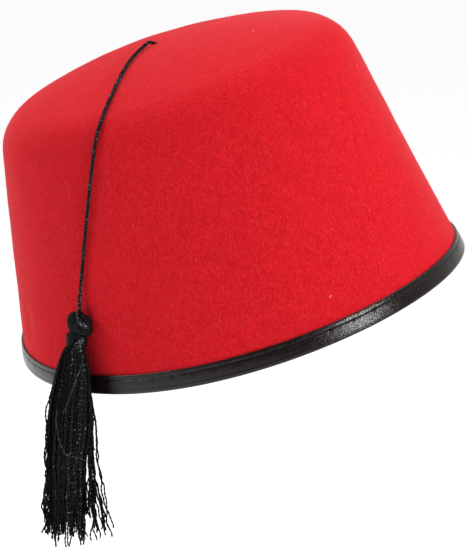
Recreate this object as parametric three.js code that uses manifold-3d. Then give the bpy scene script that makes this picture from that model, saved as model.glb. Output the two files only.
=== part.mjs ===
// A red felt fez with a bound rim and a black tassel on a twisted cord, tilted back as it is worn.
// Millimetres, +Z up. The origin is in the middle of the head opening, in the plane of the rim.

import * as THREE from 'three';
import { mergeVertices } from 'three/addons/utils/BufferGeometryUtils.js';
import Module from 'manifold-3d';

const wasm = await Module();
wasm.setup();

// The felt crown, as a round body before it takes the head's oval
const rimRadius = 95;
const topRadius = 81.3;
const crownHeight = 116;
const shoulderRadius = 19.9;
const domeRise = 8.6;
const feltThickness = 2;

// How the felt has settled: the oval of a head, the rim lower at the sides, the top tipped over
const ovalShare = 0.087;
const frontAzimuth = THREE.MathUtils.degToRad(-40);
const rimWave = 2.4;
const topTip = THREE.MathUtils.degToRad(3.7);
const topTipAzimuth = THREE.MathUtils.degToRad(37);

// The tilt of the worn hat, towards -X
const lean = THREE.MathUtils.degToRad(16.7);

// The tape folded over the rim
const tapeThickness = 0.7;
const tapeHeight = 7.7;
const tapeHeightInside = 6.5;
const foldRadius = 1.1;

// The space left between pieces that touch on the real hat
const gap = 0.3;

// The cord and the knot that holds it under the felt
const cordDiameter = 1.6;
const cordSides = 8;
const cordStep = 4;
const knotDiameter = 5.2;
const knotHeight = 4.2;
const holeDiameter = cordDiameter + 2 * gap;

// The cord's route, from the hole in the top to the tassel. The hole is a little off the middle.
const cordRoute = [
  [-31.8, 4.9, 108.5],
  [-33.0, 4.0, 109.2],
  [-35.0, 2.4, 110.6],
  [-37.2, 0.4, 111.4],
  [-39.4, -2.3, 110.1],
  [-42.3, -9.0, 108.4],
  [-45.0, -18.0, 106.1],
  [-47.6, -29.5, 102.9],
  [-50.0, -42.5, 98.7],
  [-52.0, -52.0, 94.9],
  [-53.5, -57.9, 91.1],
  [-54.9, -60.9, 86.9],
  [-56.0, -62.4, 81.5],
  [-57.2, -62.8, 73.0],
  [-58.5, -62.2, 63.0],
  [-59.9, -61.4, 51.6],
  [-61.2, -60.5, 40.5],
  [-62.4, -59.6, 28.9],
  [-63.3, -59.3, 20.4],
  [-63.6, -60.1, 14.6],
];

// The tassel hangs from the cord's end: `along` runs beside the felt, `out` away from it
const tasselAzimuth = THREE.MathUtils.degToRad(-136);
const headHeight = 8;
const lobeWidth = 5.6;
const lobeDepth = 4.8;
const neckRadius = 1.9;
const neckHeight = 5.2;
const neckAlong = -1.3;
const neckOut = 1.7;
const wrapThickness = 1.2;
const wrapTurns = 5;
const skirtLength = 82;
const skirtDrift = 2.4;
const skirtWidth = 26;
const skirtDepth = 21;
const skirtOut = 6.6;
const lockCount = 12;
const lockRadius = 3.1;
const lockSway = 1.1;

// Lobes of the head. along, out, down and the sizes are shares of the lobe's width, depth
// and the head's height.
const lobes = [
  { along: -0.35, out: 0.27, down: 0.48, width: 1.0, depth: 1.0, height: 1.0 },
  { along: 0.24, out: 0.17, down: 0.44, width: 0.96, depth: 0.9, height: 0.98 },
  { along: 0.84, out: 0.15, down: 0.56, width: 1.0, depth: 1.0, height: 1.22 },
];

// Sections of the skirt. at is a share of its length, width, depth and out are shares of
// its named width, depth and standing off.
const skirtSections = [
  { at: 0.0, width: 0.14, depth: 0.17, out: 0.26, lock: 0.55 },
  { at: 0.05, width: 0.3, depth: 0.27, out: 0.34, lock: 0.7 },
  { at: 0.14, width: 0.5, depth: 0.38, out: 0.54, lock: 0.86 },
  { at: 0.26, width: 0.7, depth: 0.5, out: 0.72, lock: 0.96 },
  { at: 0.5, width: 0.86, depth: 0.74, out: 0.86, lock: 1.0 },
  { at: 0.8, width: 0.98, depth: 0.96, out: 0.96, lock: 0.78 },
  { at: 1.0, width: 1.0, depth: 1.0, out: 1.0, lock: 0.3 },
];

// Smoothness of the faceted solids
const aroundSegments = 64;
const domeSegments = 6;
const shoulderSegments = 6;
const wallSegments = 4;
const foldSegments = 3;
const lockSides = 7;
const lockSegments = 10;

// Materials
const felt = new THREE.MeshStandardMaterial({ color: 0xcf1522, roughness: 0.95, metalness: 0 });
const tape = new THREE.MeshStandardMaterial({ color: 0x1c1918, roughness: 0.28, metalness: 0 });
const cordYarn = new THREE.MeshStandardMaterial({ color: 0x0d0c0e, roughness: 0.55, metalness: 0 });
const knotYarn = new THREE.MeshStandardMaterial({ color: 0x0e0d0f, roughness: 0.6, metalness: 0 });
const tasselYarn = new THREE.MeshStandardMaterial({ color: 0x0b0a0c, roughness: 0.5, metalness: 0 });
const wrapThread = new THREE.MeshStandardMaterial({ color: 0x09080a, roughness: 0.5, metalness: 0 });

// Places worked out from the sizes of the round body
const domeEdgeRadius = topRadius - shoulderRadius;
const domeRadius = (domeEdgeRadius ** 2 + domeRise ** 2) / (2 * domeRise);
const domeAngle = Math.asin(domeEdgeRadius / domeRadius);
const shoulderCentre = new THREE.Vector2(
  domeEdgeRadius - shoulderRadius * Math.sin(domeAngle),
  crownHeight - domeRise - shoulderRadius * Math.cos(domeAngle),
);
const wallAngle = wallAngleFor(rimRadius);

// The angle of the wall that runs from the rim to a tangent point on the shoulder.
function wallAngleFor(radius) {
  const across = radius - shoulderCentre.x;
  const distance = Math.hypot(across, shoulderCentre.y);
  return Math.atan2(across, shoulderCentre.y) - Math.asin(shoulderRadius / distance);
}

// The radius of the outer wall at a height on its straight stretch.
function wallRadius(z) {
  return rimRadius - z * Math.tan(wallAngle);
}

// Points of one side of the felt, from the top's middle down to the height of its cut edge.
function feltSide(inward, edge) {
  const points = [];
  for (let i = 0; i <= domeSegments; i += 1) {
    const a = (domeAngle * i) / domeSegments;
    const r = domeRadius - inward;
    points.push(new THREE.Vector2(r * Math.sin(a), crownHeight - domeRadius + r * Math.cos(a)));
  }
  const shoulderStart = Math.PI / 2 - domeAngle;
  for (let i = 1; i <= shoulderSegments; i += 1) {
    const a = THREE.MathUtils.lerp(shoulderStart, wallAngle, i / shoulderSegments);
    const r = shoulderRadius - inward;
    points.push(new THREE.Vector2(shoulderCentre.x + r * Math.cos(a), shoulderCentre.y + r * Math.sin(a)));
  }
  const wallTop = points.at(-1).clone();
  const wallFoot = new THREE.Vector2(wallRadius(edge) - inward / Math.cos(wallAngle), edge);
  for (let i = 1; i <= wallSegments; i += 1) {
    points.push(wallTop.clone().lerp(wallFoot, i / wallSegments));
  }
  return points;
}

// A round body about +Z from a closed profile of radius and height.
function turned(profile, segments) {
  return new THREE.LatheGeometry(profile, segments).rotateX(Math.PI / 2);
}

// Gives a round body the oval of a head, the waved rim and the tipped top.
function settle(geometry) {
  const position = geometry.attributes.position;
  const tip = Math.tan(topTip);
  for (let i = 0; i < position.count; i += 1) {
    const z = position.getZ(i);
    const azimuth = Math.atan2(position.getY(i), position.getX(i));
    const twice = Math.cos(2 * (azimuth - frontAzimuth));
    const radius = Math.hypot(position.getX(i), position.getY(i)) * (1 + ovalShare * twice);
    const share = THREE.MathUtils.clamp(z / crownHeight, 0, 1);
    const wave = (rimWave * twice * (1 - share) * radius) / rimRadius;
    const rise = tip * share ** 2 * radius * Math.cos(azimuth - topTipAzimuth);
    position.setXYZ(i, radius * Math.cos(azimuth), radius * Math.sin(azimuth), z + wave + rise);
  }
  return geometry;
}

// Booleans are made on merged vertices that carry only a position.
function toSolid(geometry) {
  const bare = geometry.clone();
  bare.deleteAttribute('normal');
  bare.deleteAttribute('uv');
  const merged = mergeVertices(bare, 1e-4);
  return new wasm.Manifold(new wasm.Mesh({
    numProp: 3,
    vertProperties: new Float32Array(merged.attributes.position.array),
    triVerts: new Uint32Array(merged.index.array),
  }));
}

function fromSolid(solid) {
  const mesh = solid.getMesh();
  const geometry = new THREE.BufferGeometry();
  geometry.setAttribute('position', new THREE.BufferAttribute(mesh.vertProperties, 3));
  geometry.setIndex(new THREE.BufferAttribute(mesh.triVerts, 1));
  geometry.computeVertexNormals();
  return geometry;
}

function crownGeometry() {
  const edge = tapeThickness + gap;
  const profile = [...feltSide(feltThickness, edge), ...feltSide(0, edge).reverse()];
  const shell = settle(turned(profile, aroundSegments));
  shell.rotateY(-lean);
  const [start, exit] = cordRoute.map((p) => new THREE.Vector3(...p));
  const drill = new THREE.CylinderGeometry(holeDiameter / 2, holeDiameter / 2, 6 * feltThickness, 16);
  const along = exit.clone().sub(start).normalize();
  drill.applyQuaternion(new THREE.Quaternion().setFromUnitVectors(new THREE.Vector3(0, 1, 0), along));
  drill.translate(...start.clone().lerp(exit, 0.5));
  return fromSolid(toSolid(shell).subtract(toSolid(drill)));
}

// The tape's section: down the inside, round the fold, up the outside and back along the felt.
function bindingGeometry() {
  const slant = Math.cos(wallAngle);
  const feltInside = feltThickness / slant;
  const outer = (z) => wallRadius(z) + (gap + tapeThickness) / slant;
  const outerFelt = (z) => wallRadius(z) + gap / slant;
  const innerFelt = (z) => wallRadius(z) - feltInside - gap / slant;
  const inner = (z) => wallRadius(z) - feltInside - (gap + tapeThickness) / slant;
  const profile = [new THREE.Vector2(inner(tapeHeightInside), tapeHeightInside)];
  for (let i = 0; i <= foldSegments; i += 1) {
    const a = (Math.PI / 2) * (i / foldSegments);
    const z = foldRadius * (1 - Math.sin(a));
    profile.push(new THREE.Vector2(inner(z) + foldRadius * (1 - Math.cos(a)), z));
  }
  for (let i = foldSegments; i >= 0; i -= 1) {
    const a = (Math.PI / 2) * (i / foldSegments);
    const z = foldRadius * (1 - Math.sin(a));
    profile.push(new THREE.Vector2(outer(z) - foldRadius * (1 - Math.cos(a)), z));
  }
  profile.push(new THREE.Vector2(outer(tapeHeight), tapeHeight));
  profile.push(new THREE.Vector2(outerFelt(tapeHeight), tapeHeight));
  profile.push(new THREE.Vector2(outerFelt(tapeThickness), tapeThickness));
  profile.push(new THREE.Vector2(innerFelt(tapeThickness), tapeThickness));
  profile.push(new THREE.Vector2(innerFelt(tapeHeightInside), tapeHeightInside));
  profile.push(profile[0].clone());
  return settle(turned(profile, aroundSegments)).rotateY(-lean);
}

function cordGeometry() {
  const path = new THREE.CatmullRomCurve3(cordRoute.map((p) => new THREE.Vector3(...p)));
  const section = new THREE.Shape();
  for (let i = 0; i < cordSides; i += 1) {
    const a = (2 * Math.PI * i) / cordSides;
    const point = [(cordDiameter / 2) * Math.cos(a), (cordDiameter / 2) * Math.sin(a)];
    if (i === 0) section.moveTo(...point);
    else section.lineTo(...point);
  }
  section.closePath();
  const steps = Math.round(path.getLength() / cordStep);
  return new THREE.ExtrudeGeometry(section, { steps, extrudePath: path, curveSegments: 1 });
}

// The knot sits under the cord's start, in line with it.
function knotPlace() {
  const [start, exit] = cordRoute.map((p) => new THREE.Vector3(...p));
  const along = exit.clone().sub(start).normalize();
  return { along, centre: start.clone().addScaledVector(along, -(gap + knotHeight / 2)) };
}

function knotGeometry() {
  const ball = new THREE.SphereGeometry(1, 12, 8);
  return ball.scale(knotDiameter / 2, knotHeight / 2, knotDiameter / 2);
}

// A value of the skirt's table at a share of its length.
function skirtValue(column, share) {
  const next = Math.max(1, skirtSections.findIndex((row) => row.at >= share));
  const above = skirtSections[next - 1];
  const below = skirtSections[next];
  const t = THREE.MathUtils.smoothstep(share, above.at, below.at);
  const straight = (share - above.at) / (below.at - above.at);
  return THREE.MathUtils.lerp(above[column], below[column], 0.4 * t + 0.6 * straight);
}

// One lock of the skirt, at an angle round the skirt's oval and at a share of its half width.
function lockGeometry(angle, reach, size, length, phase) {
  const lock = new THREE.CylinderGeometry(1, 1, 1, lockSides, lockSegments);
  const position = lock.attributes.position;
  for (let i = 0; i < position.count; i += 1) {
    const share = 0.5 - position.getY(i);
    const radius = size * lockRadius * skirtValue('lock', share);
    const sway = lockSway * share * Math.sin(5.5 * share + phase);
    const width = (skirtWidth / 2) * skirtValue('width', share) - radius;
    const depth = (skirtDepth / 2) * skirtValue('depth', share) - radius;
    const drift = skirtDrift * share ** 2;
    const along = neckAlong + drift + reach * width * Math.cos(angle) + sway;
    const out = skirtOut * skirtValue('out', share) + reach * depth * Math.sin(angle);
    position.setXYZ(i, out + radius * position.getZ(i), along + radius * position.getX(i), -share * length);
  }
  return lock;
}

function lobeGeometry(lobe) {
  const ball = new THREE.SphereGeometry(0.5, 14, 10).rotateX(Math.PI / 2);
  ball.scale(lobe.depth * lobeDepth, lobe.width * lobeWidth, lobe.height * headHeight);
  return ball.translate(lobe.out * lobeDepth, lobe.along * lobeWidth, -lobe.down * headHeight);
}

// The head's lobes, the neck and the skirt's locks as one body, its flat top a gap under the cord.
function tasselGeometry() {
  const wrapTop = headHeight + gap;
  const skirtTop = wrapTop + neckHeight + gap;
  const neckLength = skirtTop - headHeight / 2 + 1;
  const neck = new THREE.CylinderGeometry(neckRadius, neckRadius, neckLength, 16).rotateX(Math.PI / 2);
  neck.translate(neckOut, neckAlong, -headHeight / 2 - neckLength / 2);
  const parts = [toSolid(neck), ...lobes.map((lobe) => toSolid(lobeGeometry(lobe)))];
  const core = lockGeometry(0, 0, 1.5, 0.8 * skirtLength, 0);
  parts.push(toSolid(core.translate(0, 0, -skirtTop)));
  for (let i = 0; i < lockCount; i += 1) {
    const angle = (2 * Math.PI * (i + 0.5)) / lockCount;
    const length = skirtLength * (0.95 + 0.05 * Math.cos(2.4 * i));
    const lock = lockGeometry(angle, 1, 1, length, 1.7 * i);
    parts.push(toSolid(lock.translate(0, 0, -skirtTop)));
  }
  const body = wasm.Manifold.union(parts);
  const flatTop = body.trimByPlane([0, 0, -1], 0);
  return fromSolid(flatTop);
}

// Thread wound round the neck, a rib for each turn.
function wrapGeometry() {
  const inside = neckRadius + gap;
  const pitch = neckHeight / wrapTurns;
  const profile = [new THREE.Vector2(inside, 0)];
  for (let i = 0; i < wrapTurns; i += 1) {
    profile.push(new THREE.Vector2(inside + 0.7 * wrapThickness, i * pitch));
    profile.push(new THREE.Vector2(inside + wrapThickness, (i + 0.3) * pitch));
    profile.push(new THREE.Vector2(inside + wrapThickness, (i + 0.7) * pitch));
  }
  profile.push(new THREE.Vector2(inside + 0.7 * wrapThickness, neckHeight));
  profile.push(new THREE.Vector2(inside, neckHeight));
  profile.push(profile[0].clone());
  return turned(profile, 20);
}

function named(name, geometry, material) {
  const mesh = new THREE.Mesh(geometry, material);
  mesh.name = name;
  return mesh;
}

const fez = new THREE.Group();
fez.add(named('crown', crownGeometry(), felt));
fez.add(named('edge_binding', bindingGeometry(), tape));
fez.add(named('tassel_cord', cordGeometry(), cordYarn));

const knot = named('cord_knot', knotGeometry(), knotYarn);
const knotSeat = knotPlace();
knot.position.copy(knotSeat.centre);
knot.quaternion.setFromUnitVectors(new THREE.Vector3(0, 1, 0), knotSeat.along);
fez.add(knot);

// Local x points away from the felt and local y runs along it.
const hanging = new THREE.Group();
hanging.position.set(...cordRoute.at(-1));
hanging.position.z -= gap;
hanging.rotation.z = tasselAzimuth;
const tassel = named('tassel', tasselGeometry(), tasselYarn);
const wrap = named('neck_wrap', wrapGeometry(), wrapThread);
wrap.position.set(neckOut, neckAlong, -(headHeight + gap + neckHeight));
hanging.add(tassel, wrap);
fez.add(hanging);

export default fez;
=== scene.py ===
import math
import random

import bpy
import numpy as np
from bpy.props import FloatProperty, FloatVectorProperty, IntProperty, PointerProperty
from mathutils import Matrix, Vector, noise


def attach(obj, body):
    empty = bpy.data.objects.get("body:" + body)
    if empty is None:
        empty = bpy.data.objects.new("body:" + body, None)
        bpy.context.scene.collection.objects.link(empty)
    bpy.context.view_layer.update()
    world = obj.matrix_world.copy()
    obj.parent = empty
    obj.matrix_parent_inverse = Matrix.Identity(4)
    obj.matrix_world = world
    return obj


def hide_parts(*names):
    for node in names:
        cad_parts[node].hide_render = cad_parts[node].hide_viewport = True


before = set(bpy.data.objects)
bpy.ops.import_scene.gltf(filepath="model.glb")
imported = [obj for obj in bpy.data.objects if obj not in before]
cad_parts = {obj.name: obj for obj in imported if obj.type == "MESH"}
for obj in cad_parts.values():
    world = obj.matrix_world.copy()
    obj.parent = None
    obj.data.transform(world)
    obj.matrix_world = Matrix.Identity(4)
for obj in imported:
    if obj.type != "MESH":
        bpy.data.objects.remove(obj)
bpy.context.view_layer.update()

bl_info = {
    "name": "Felt Fez",
    "version": (1, 0, 0),
    "blender": (4, 5, 0),
    "location": "3D View > Sidebar > Fez",
    "description": "Dresses a red felt fez with its bound rim, twisted cord and black tassel",
    "category": "Object",
}

# The cord from the knot under the felt, out of the hole and down to the tassel
CORD_ROUTE = [
    (-0.0318, 0.0049, 0.1085),
    (-0.0330, 0.0040, 0.1092),
    (-0.0350, 0.0024, 0.1106),
    (-0.0372, 0.0004, 0.1114),
    (-0.0394, -0.0023, 0.1101),
    (-0.0423, -0.0090, 0.1084),
    (-0.0450, -0.0180, 0.1061),
    (-0.0476, -0.0295, 0.1029),
    (-0.0500, -0.0425, 0.0987),
    (-0.0520, -0.0520, 0.0949),
    (-0.0535, -0.0579, 0.0911),
    (-0.0549, -0.0609, 0.0869),
    (-0.0560, -0.0624, 0.0815),
    (-0.0572, -0.0628, 0.0730),
    (-0.0585, -0.0622, 0.0630),
    (-0.0599, -0.0614, 0.0516),
    (-0.0612, -0.0605, 0.0405),
    (-0.0624, -0.0596, 0.0289),
    (-0.0633, -0.0593, 0.0204),
    (-0.0636, -0.0601, 0.0146),
]
CORD_EXIT = CORD_ROUTE[2]

# Distances between the points that a cord's and a short yarn's lines are made of
CORD_STEP = 0.0004
YARN_STEP = 0.0003

# The lobes of the tassel's head: each one's middle, out from the felt, along it and up,
# and how far it reaches across those ways
LOBES = [
    ((0.0017, -0.0010, -0.0043), (0.0058, 0.0070, 0.0090)),
    ((0.0006, 0.0041, -0.0034), (0.0048, 0.0058, 0.0068)),
    ((0.0007, 0.0050, -0.0061), (0.0046, 0.0052, 0.0056)),
    ((0.0018, 0.0022, -0.0056), (0.0050, 0.0054, 0.0062)),
    ((0.0004, 0.0004, -0.0010), (0.0036, 0.0046, 0.0036)),
    ((0.0017, -0.0010, -0.0104), (0.0054, 0.0058, 0.0110)),
    ((0.0012, 0.0027, -0.0110), (0.0042, 0.0044, 0.0088)),
]

# How the skirt's mass opens downwards: share of its length, its width and depth, how far
# its middle stands off and lies along the felt, all in metres, and a yarn's share of its thickness
SKIRT_SECTIONS = [
    (0.00, 0.0088, 0.0064, 0.0020, -0.0001, 0.55),
    (0.02, 0.0100, 0.0076, 0.0023, -0.0006, 0.62),
    (0.05, 0.0118, 0.0088, 0.0028, -0.0008, 0.74),
    (0.10, 0.0156, 0.0100, 0.0036, -0.0001, 0.88),
    (0.17, 0.0176, 0.0114, 0.0046, 0.0002, 1.00),
    (0.26, 0.0190, 0.0138, 0.0057, 0.0004, 1.00),
    (0.36, 0.0200, 0.0152, 0.0064, 0.0004, 1.00),
    (0.46, 0.0188, 0.0144, 0.0069, 0.0002, 1.00),
    (0.57, 0.0162, 0.0132, 0.0072, -0.0008, 1.00),
    (0.80, 0.0152, 0.0124, 0.0075, -0.0014, 1.00),
    (1.05, 0.0152, 0.0124, 0.0077, -0.0015, 0.94),
]

# Stray yarns: direction round the skirt, how far the end swings out, shares of the skirt's
# length at which it leaves and over which it swings, and the share at which it ends
STRAYS = [
    (-0.5, 0.0027, 0.36, 0.14, 0.505),
    (-0.4, 0.0128, 0.45, 0.50, 0.935),
    (-0.6, 0.0098, 0.35, 0.60, 0.95),
    (2.5, -0.0026, 0.62, 0.25, 0.87),
]

# Fine threads that lie across the front of the skirt: out from the felt, along it and up
THREADS = [
    [(0.0022, 0.0049, -0.0156), (0.0050, 0.0070, -0.0190), (0.0080, 0.0078, -0.0230),
     (0.0106, 0.0074, -0.0285), (0.0126, 0.0065, -0.0340), (0.0138, 0.0053, -0.0378)],
    [(0.0140, 0.0018, -0.0375), (0.0146, 0.0017, -0.0415), (0.0150, 0.0029, -0.0465),
     (0.0148, 0.0040, -0.0505), (0.0136, 0.0062, -0.0553), (0.0116, 0.0080, -0.0561),
     (0.0088, 0.0090, -0.0574), (0.0060, 0.0086, -0.0594)],
]

# Flecks of lint on the felt: direction round the crown, distance up its section and turn
LINT = [
    (-3.037, 0.1520, 0.1),
    (-0.489, 0.1352, 1.5),
    (-0.388, 0.0885, -0.3),
    (-1.126, 0.0165, 0.8),
    (0.600, 0.0700, 0.5),
    (1.700, 0.0450, -0.6),
    (2.600, 0.0900, 0.2),
]

# The shallow dent low on the wall: its middle, depth and width, and how much it is drawn out upwards
DENT = (-0.0882, -0.0202, -0.0046)
DENT_DEPTH = 0.0007
DENT_WIDTH = 0.0048
DENT_SHAPE = (1.0, 1.0, 0.6)

# Half the width of two or three plies laid together, in radii of one ply
PLIES_ACROSS = {2: 1.6, 3: 1.95}

# Share of a turn from one yarn to the next, which spreads any number of them evenly
GOLDEN_TURN = 0.381966

# Points closer than this are one point
TOUCHING = 1e-6


# Settings that a user may change


def number(name, description, default, **kind):
    return FloatProperty(name=name, description=description, default=default, **kind)


def whole(name, description, default):
    return IntProperty(name=name, description=description, default=default)


def size(name, description, default):
    return number(name, description, default, subtype="DISTANCE", unit="LENGTH")


def angle(name, description, degrees):
    return number(name, description, math.radians(degrees), subtype="ANGLE", unit="ROTATION")


def colour(name, description, default):
    return FloatVectorProperty(
        name=name, description=description, default=default, size=3, min=0, max=1, subtype="COLOR"
    )


class CrownSettings(bpy.types.PropertyGroup):
    """Sizes and colours of the felt crown."""

    rim_radius: size("Rim radius", "Mean radius of the felt at the rim", 0.095)
    top_radius: size("Top radius", "Radius where the wall would meet the top", 0.0813)
    height: size("Height", "Height of the crown along its axis", 0.116)
    shoulder: size("Shoulder", "Radius of the rounded shoulder", 0.0199)
    dome_rise: size("Dome rise", "How far the top swells above its edge", 0.0086)
    thickness: size("Felt thickness", "Thickness of the felt", 0.002)
    edge_height: size("Cut edge", "Height of the felt's cut edge inside the tape", 0.001)
    rim_wave: size("Rim wave", "How far the rim rises at front and back and dips at the sides", 0.0024)
    oval: number("Oval", "Share that the oval adds along its long axis", 0.087)
    front: angle("Front", "Direction of the oval's long axis", -40)
    top_tip: angle("Top tip", "How far the top is tipped over", 3.7)
    tip_direction: angle("Tip direction", "Direction in which the top rises", 37)
    lean: angle("Lean", "Tilt of the worn hat", 16.7)
    unevenness: size("Unevenness", "Depth of the felt's soft unevenness", 0.0003)
    around: whole("Steps around", "Faces around the crown", 320)
    felt: colour("Felt", "Colour of the dyed felt", (0.610, 0.0074, 0.0138))
    # Painted shade: the felt is darkened to this where its bump is low, between the fibres; the nap also uses
    # it as the tone of its darkest fibres
    felt_deep: colour("Deep felt", "Colour between the felt's fibres", (0.44, 0.0026, 0.0058))
    # Painted light: the felt is lightened to this where its bump is high, on the raised fibres; the nap also
    # uses it as the tone of its palest fibres
    felt_light: colour("Raised fibres", "Colour of the raised fibres", (0.78, 0.036, 0.056))
    lint: colour("Lint", "Colour of the flecks of lint", (0.90, 0.20, 0.20))
    fibres: whole("Fibres", "Single fibres on the felt", 20000)


class TapeSettings(bpy.types.PropertyGroup):
    """Sizes and colours of the tape folded over the rim."""

    thickness: size("Thickness", "Thickness of the tape", 0.0007)
    height: size("Height", "Height of the tape outside", 0.0077)
    height_inside: size("Height inside", "Height of the tape inside", 0.0065)
    fold: size("Fold", "Radius of the fold at the rim", 0.0011)
    gap: size("Gap", "Space between the tape and the felt", 0.0003)
    stitch_height: size("Stitch line", "Height of the stitch line above the rim", 0.0058)
    stitch_height_inside: size("Inner stitch line", "Height of the stitch line inside", 0.0047)
    crease_depth: size("Crease depth", "Depth of the crease along the stitches", 0.00036)
    crease_width: size("Crease width", "Half width of the crease", 0.00014)
    stitches: whole("Stitches", "Stitches around the rim", 64)
    tape: colour("Tape", "Colour of the tape", (0.0076, 0.0036, 0.0034))
    worn: colour("Worn tape", "Colour of the tape where it is rubbed", (0.0130, 0.0110, 0.0105))
    # Also painted along the tape's crease and stitch holes as painted shade
    thread: colour("Thread", "Colour of the sewing thread", (0.0020, 0.0020, 0.0024))


class TasselSettings(bpy.types.PropertyGroup):
    """Sizes and colours of the cord and the tassel, with the colours of the yarn's painted highlights and
    glints.
    """

    cord: size("Cord", "Diameter of the twisted cord", 0.0016)
    cord_lay: size("Cord lay", "Length of one full turn of the cord's strands", 0.0046)
    direction: angle("Direction", "Direction in which the tassel stands off the felt", -136)
    head_height: size("Head height", "Height of the tassel's head", 0.008)
    neck_height: size("Neck height", "Height of the bound neck", 0.0052)
    neck_radius: size("Neck radius", "Radius of the neck under its thread", 0.0019)
    neck_out: size("Neck out", "How far the neck stands off from under the cord", 0.0017)
    neck_along: size("Neck along", "How far the neck lies beside the cord", -0.0013)
    gap: size("Gap", "Space between the tassel's parts", 0.0003)
    skirt_length: size("Skirt length", "Length of the hanging yarns", 0.082)
    yarn: size("Yarn", "Diameter of a twisted yarn", 0.00086)
    yarn_lay: size("Yarn lay", "Length of one full turn of a yarn's two plies", 0.0041)
    outer_yarns: whole("Outer yarns", "Yarns that show in the skirt", 136)
    inner_yarns: whole("Inner yarns", "Yarns that fill the skirt", 44)
    loose_yarns: whole("Loose yarns", "Yarns that hang apart from the skirt", 34)
    black: colour("Yarn black", "Colour of the yarn", (0.0022, 0.0020, 0.0026))
    dusty: colour("Dusty yarn", "Colour of the yarn's lighter fibres", (0.0180, 0.0155, 0.0145))
    # Painted highlight on the crests of a twist, paler as if catching the light; the fine threads across the
    # skirt have this paler colour of their own
    pale: colour("Pale yarn", "Colour of the crests of a shiny twist", (0.100, 0.072, 0.080))
    # Painted glints: bright specks painted into the yarn's colour, standing in for light caught by its fibres
    painted_glint: colour("Yarn glint", "Colour of the glints in the yarn", (0.60, 0.59, 0.62))


class StudioSettings(bpy.types.PropertyGroup):
    """The camera, the floor and the lights."""

    camera_place: FloatVectorProperty(
        name="Camera", description="Place of the camera", default=(-0.00231, -0.77305, 0.25115),
        size=3, subtype="TRANSLATION", unit="LENGTH",
    )
    pitch: angle("Pitch", "Tilt of the camera from straight down", 72.792)
    lens: number("Lens", "Focal length on a 36 mm sensor", 124.418)
    floor_height: size("Floor height", "Height of the floor", -0.62)
    floor: colour("Floor", "Colour of the floor", (0.93, 0.93, 0.93))
    floor_glow: number("Floor glow", "Light that the floor adds of its own", 0.62)
    room_front: number("Room in front", "Brightness of the room in front", 0.08)
    room_back: number("Room behind", "Brightness of the room behind", 0.62)
    key: number("Key", "Power of the light at the right", 11.1)
    side: number("Side", "Power of the light at the left", 7.2)
    top: number("Top", "Power of the light overhead", 11.0)


# Shapes shared by the crown and the tape


def wall_geometry(crown):
    """The dome's radius and angle, the shoulder's middle and the wall's slant."""
    edge = crown.top_radius - crown.shoulder
    dome_radius = (edge**2 + crown.dome_rise**2) / (2 * crown.dome_rise)
    dome_angle = math.asin(edge / dome_radius)
    middle = Vector((
        edge - crown.shoulder * math.sin(dome_angle),
        crown.height - crown.dome_rise - crown.shoulder * math.cos(dome_angle),
    ))
    across = crown.rim_radius - middle.x
    distance = math.hypot(across, middle.y)
    wall_angle = math.atan2(across, middle.y) - math.asin(crown.shoulder / distance)
    return dome_radius, dome_angle, middle, wall_angle


def wall_radius(crown, height):
    """Radius of the felt's outside on the straight wall."""
    return crown.rim_radius - height * math.tan(wall_geometry(crown)[3])


def crown_section(crown):
    """Radius and height of the felt's outside, from the cut edge up to the middle of the top."""
    dome_radius, dome_angle, middle, wall_angle = wall_geometry(crown)
    wall_steps, shoulder_steps, top_steps = 34, 12, 18
    foot = Vector((wall_radius(crown, crown.edge_height), crown.edge_height))
    top = middle + crown.shoulder * Vector((math.cos(wall_angle), math.sin(wall_angle)))
    section = [foot.lerp(top, i / wall_steps) for i in range(wall_steps + 1)]
    for i in range(1, shoulder_steps + 1):
        a = wall_angle + (math.pi / 2 - dome_angle - wall_angle) * i / shoulder_steps
        section.append(middle + crown.shoulder * Vector((math.cos(a), math.sin(a))))
    for i in range(1, top_steps + 1):
        a = dome_angle * (1 - i / (top_steps + 0.6))
        height = crown.height - dome_radius + dome_radius * math.cos(a)
        section.append(Vector((dome_radius * math.sin(a), height)))
    return section


def top_share(crown, height):
    """0 on the wall, 1 on the top and smooth over the shoulder."""
    middle = wall_geometry(crown)[2].y
    share = np.clip((height - middle) / (crown.height - crown.dome_rise - middle), 0, 1)
    return share**2 * (3 - 2 * share)


def hill(away, width):
    """1 at a place, falling smoothly away to nothing past a width from it."""
    return np.exp(-((away / width) ** 2))


def round_points(radius, azimuth, height):
    return np.stack([radius * np.cos(azimuth), radius * np.sin(azimuth), height], 1)


def settle(points, crown):
    """Gives round points the head's oval, the waved rim, the tipped top and the tilt."""
    x, y, z = points.T
    azimuth = np.arctan2(y, x)
    twice = np.cos(2 * (azimuth - crown.front))
    radius = np.hypot(x, y) * (1 + crown.oval * twice)
    share = np.clip(z / crown.height, 0, 1)
    wave = crown.rim_wave * twice * (1 - share) * radius / crown.rim_radius
    rise = math.tan(crown.top_tip) * share**2 * radius * np.cos(azimuth - crown.tip_direction)
    x, y, z = radius * np.cos(azimuth), radius * np.sin(azimuth), z + wave + rise
    c, s = math.cos(crown.lean), math.sin(crown.lean)
    return np.stack([x * c - z * s, y, x * s + z * c], 1)


def lump_heights(crown, points):
    """How far the felt's soft unevenness lifts it at some points."""
    return crown.unevenness * np.array(
        [noise.noise(Vector(p) * 26) + 0.45 * noise.noise(Vector(p) * 80) for p in points]
    )


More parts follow.
